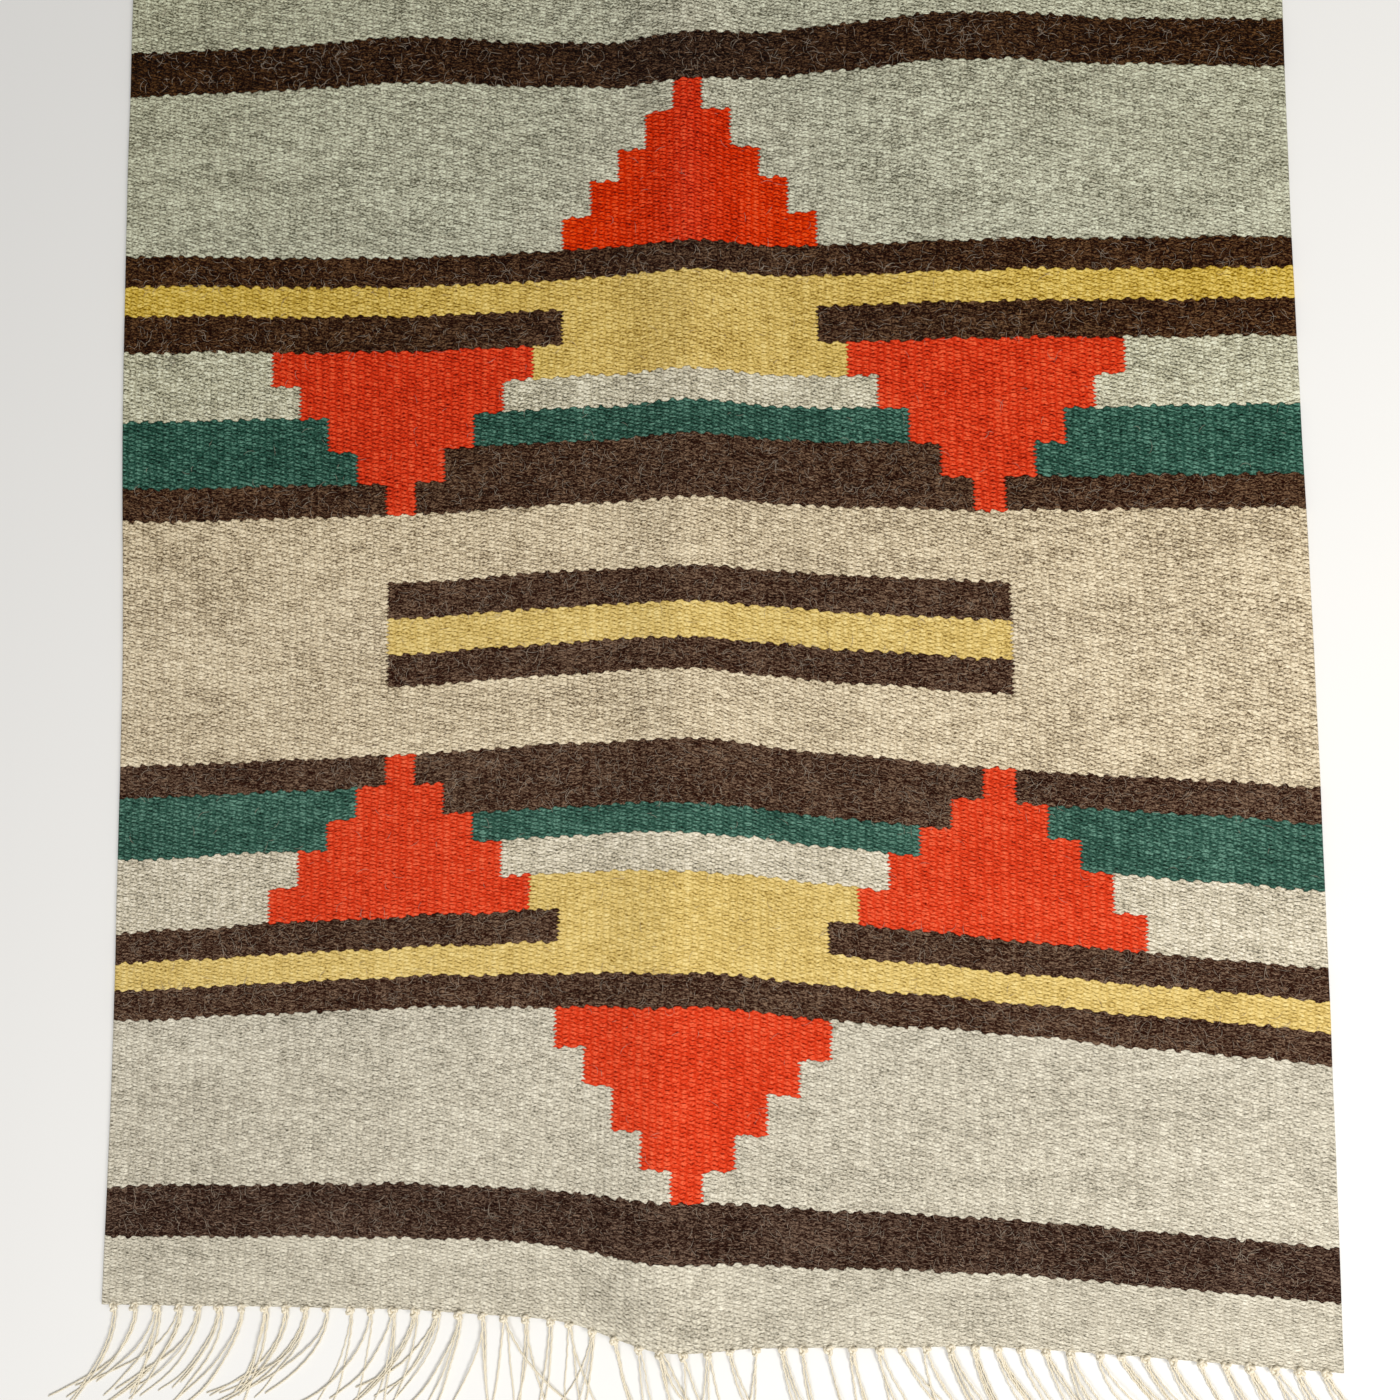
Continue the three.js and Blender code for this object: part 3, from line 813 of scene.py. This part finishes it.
def makeFringe(name, end, material):
    rng = random.Random(name)
    cordTube = tubeTemplate(name + "Cord", *fringe["cordMesh"])
    leadTube = tubeTemplate(name + "Lead", *fringe["leadMesh"])
    knotTube = tubeTemplate(name + "Knot", *fringe["knotMesh"])
    bm = bmesh.new()
    bm.verts.layers.float_vector.new("ply")
    side = end["side"]
    for index in range(fringe["knots"]):
        u, spine, length, astray = knotSpine(end, index, rng)
        knot = placeOnFloor(u, side * halfLength)
        knot += Vector((0, side * fringe["knotOut"], fringe["knotHeight"]))
        size = fringe["knotSize"] * rng.uniform(*fringe["knotSizes"])
        spin = Matrix.Rotation(rng.uniform(0, 2 * math.pi), 3, "Z")
        turn = spin @ Matrix.Rotation(fringe["knotTip"] * rng.uniform(-1, 1), 3, "X")

        def knotRoute(s):
            # an overhand knot pulled tight
            t = 2 * math.pi * s
            x = math.sin(t) + 2 * math.sin(2 * t)
            y = math.cos(t) - 2 * math.cos(2 * t)
            return knot + turn @ Vector((x, y, -math.sin(3 * t))) * size

        layTube(bm, knotTube, knotRoute, lambda s: fringe["knotCord"], fringe["knotLength"])
        for warp in range(fringe["warpsPerKnot"]):
            warpU = u + (warp - 1) / loom["warpsPerUnit"]
            inner = placeOnFloor(warpU, side * (halfLength - fringe["leadInset"]))
            inner.z += loom["thickness"] / 2
            lead = functools.partial(inner.lerp, knot)
            layTube(bm, leadTube, lead, lambda s: fringe["leadRadius"], fringe["leadLength"])
        cords = rng.choice(fringe["cordsAtKnot"])
        for order in range(cords):
            across = order - (cords - 1) / 2 + fringe["spacingAstray"] * rng.uniform(-1, 1)
            share = 1 + fringe["uneven"] * rng.uniform(-1, 1)
            extraLean = fringe["leanAstray"] * rng.uniform(-1, 1)
            extraLean += fringe["leanApart"] * astray * rng.uniform(-1, 1)
            phase = rng.uniform(0, 100)
            sway = fringe["sway"] * rng.uniform(*fringe["swayShares"])
            thick = rng.uniform(*fringe["cordRadius"])
            hop = fringe["hop"] * rng.uniform(0, 1)

            def cordRoute(s):
                along = s * share
                behind = spine(max(along - near, 0), extraLean)
                ahead = (spine(along + near, extraLean) - behind).normalized()
                aside = Vector((ahead.y, -ahead.x, 0)).normalized()
                wander = sway * s * noise.noise(Vector((s * fringe["swayTurns"], phase, 0)))
                wave = math.sin(2 * math.pi * along * length / fringe["crimpLength"] + phase)
                crimp = fringe["crimp"] * wave * (1 - s)
                apart = across * (fringe["rootSpacing"] + fringe["fan"] * s)
                point = spine(along, extraLean) + aside * (apart + wander + crimp)
                point.z += thick + hop * hump(2 * (s - fringe["hopPlace"]))
                return point.lerp(knot, max(1 - s / fringe["inKnot"], 0))

            def cordRadius(s):
                past = max(s - fringe["taperFrom"], 0) / (1 - fringe["taperFrom"])
                return thick * (1 - fringe["taper"] * past)

            layTube(bm, cordTube, cordRoute, cordRadius, length)
    piece = finishPiece(name, bm, material)
    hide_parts(end["node"])
    return piece


# Loose hairs, most of them on the brown wool, which is hairier than the rest. Sizes are in mm.
# A real hair is too thin to show, so these are drawn thicker
hairs = {
    "mesh": (3, 4),
    "count": 7000,
    "radius": 0.1,
    "thinning": 0.6,
    "length": (2, 8),
    "height": (0.1, 0.8),
    "sunk": 0.1,  # how deep the ends lie in the wool
    "curl": (2, 9),
    "onOtherYarn": 0.05,
    "farthest": 19.6,  # units
    "endBeads": 2,  # beads at either end that have none
}


def makeHairs(material):
    rng = random.Random("hairs")
    template = tubeTemplate("hairTube", *hairs["mesh"])
    bm = bmesh.new()
    bm.verts.layers.float_vector.new("ply")
    made = 0
    while made < hairs["count"]:
        u = rng.uniform(-hairs["farthest"], hairs["farthest"])
        bead = rng.uniform(hairs["endBeads"], loom["beads"] - hairs["endBeads"])
        yarn = yarnAt(u, bead - loom["beads"] / 2)
        if yarn not in ("brown", "umber") and rng.random() > hairs["onOtherYarn"]:
            continue
        length = rng.uniform(*hairs["length"])
        curl = rng.uniform(*hairs["curl"]) * rng.choice((-1, 1))
        heading = rng.uniform(0, 2 * math.pi)
        height = rng.uniform(*hairs["height"])
        start = placeOnFloor(u, bead * loom["beadLength"] - halfLength)
        start.z += loom["thickness"]

        def hairRoute(s):
            swing = s * length / curl
            x = math.sin(heading + swing) - math.sin(heading)
            y = math.cos(heading) - math.cos(heading + swing)
            point = start + Vector((x, y, 0)) * curl
            point.z += height * hump(2 * s - 1) - hairs["sunk"]
            return point

        def hairRadius(s):
            return hairs["radius"] * (1 - hairs["thinning"] * abs(2 * s - 1))

        layTube(bm, template, hairRoute, hairRadius, length)
        made += 1
    return finishPiece("looseHairs", bm, material)


# The camera hangs over the rug, a little towards its right side
camera = {
    "place": (42.3, -73.2, 509.8),  # mm
    "tilt": (3.79, 4.35, -0.34),  # degrees
    "lens": 26.1,
    "sensor": 36.0,
}


def makeCamera():
    data = bpy.data.cameras.new("photoCamera")
    data.lens = camera["lens"]
    data.sensor_width = camera["sensor"]
    data.clip_start = 0.01
    data.dof.use_dof = False
    rig = bpy.data.objects.new("photoCamera", data)
    scene.collection.objects.link(rig)
    tiltX, tiltY, roll = (math.radians(angle) for angle in camera["tilt"])
    turned = Matrix.Rotation(roll, 4, "Z") @ Matrix.Rotation(tiltY, 4, "Y") @ Matrix.Rotation(tiltX, 4, "X")
    rig.matrix_world = Matrix.Translation(Vector(camera["place"]) * mm) @ turned
    scene.camera = rig


# Soft studio light: a broad key from the lower right, a weaker one from the foot, and pale surroundings
lights = {
    "keySoftbox": {
        "place": (0.85, -0.4, 1.1), "aim": (0, 0, 0), "size": 0.5, "watts": 11.0, "colour": "#FFFAF2",
    },
    "footSoftbox": {
        "place": (-0.1, -1.1, 1.0), "aim": (0, -0.1, 0), "size": 0.7, "watts": 6.8, "colour": "#FFFCF8",
    },
}
surroundings = {"colour": "#F6F4F0", "strength": 0.498}
studioFloor = {"colour": "#EEEFF0", "size": 4, "drop": 0.0001}  # m


def makeStudio():
    for name, light in lights.items():
        data = bpy.data.lights.new(name, "AREA")
        data.shape = "SQUARE"
        data.size = light["size"]
        data.energy = light["watts"]
        data.color = linear(light["colour"])[:3]
        lamp = bpy.data.objects.new(name, data)
        scene.collection.objects.link(lamp)
        place = Vector(light["place"])
        lamp.location = place
        lamp.rotation_euler = (Vector(light["aim"]) - place).to_track_quat("-Z", "Y").to_euler()
    world = bpy.data.worlds.new("paleSurroundings")
    world.use_nodes = True
    world.node_tree.nodes["Background"].inputs["Color"].default_value = linear(surroundings["colour"])
    world.node_tree.nodes["Background"].inputs["Strength"].default_value = surroundings["strength"]
    scene.world = world
    scene.view_settings.view_transform = "Standard"

    bm = bmesh.new()
    bmesh.ops.create_grid(bm, x_segments=1, y_segments=1, size=studioFloor["size"])
    bmesh.ops.translate(bm, verts=bm.verts[:], vec=(0, 0, -studioFloor["drop"]))
    mesh = bpy.data.meshes.new("studioFloor")
    bm.to_mesh(mesh)
    bm.free()
    floor = bpy.data.objects.new("studioFloor", mesh)
    scene.collection.objects.link(floor)
    # matt paint on a smooth screed, which shows as a plain pale surface
    paint = {"Base Color": linear(studioFloor["colour"]), "Roughness": 0.9}
    mesh.materials.append(newMaterial("mattFloorPaint", paint)[0])


makeCamera()
makeStudio()
say("camera and studio ready")

cloth = makeCloth(woolMaterial())
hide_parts("cloth")
say("cloth woven")

cottonCord = cottonMaterial()
fringes = [makeFringe(name, end, cottonCord) for name, end in fringeEnds.items()]
say("fringes knotted")

looseHairs = makeHairs(hairMaterial())
say("loose hairs laid")
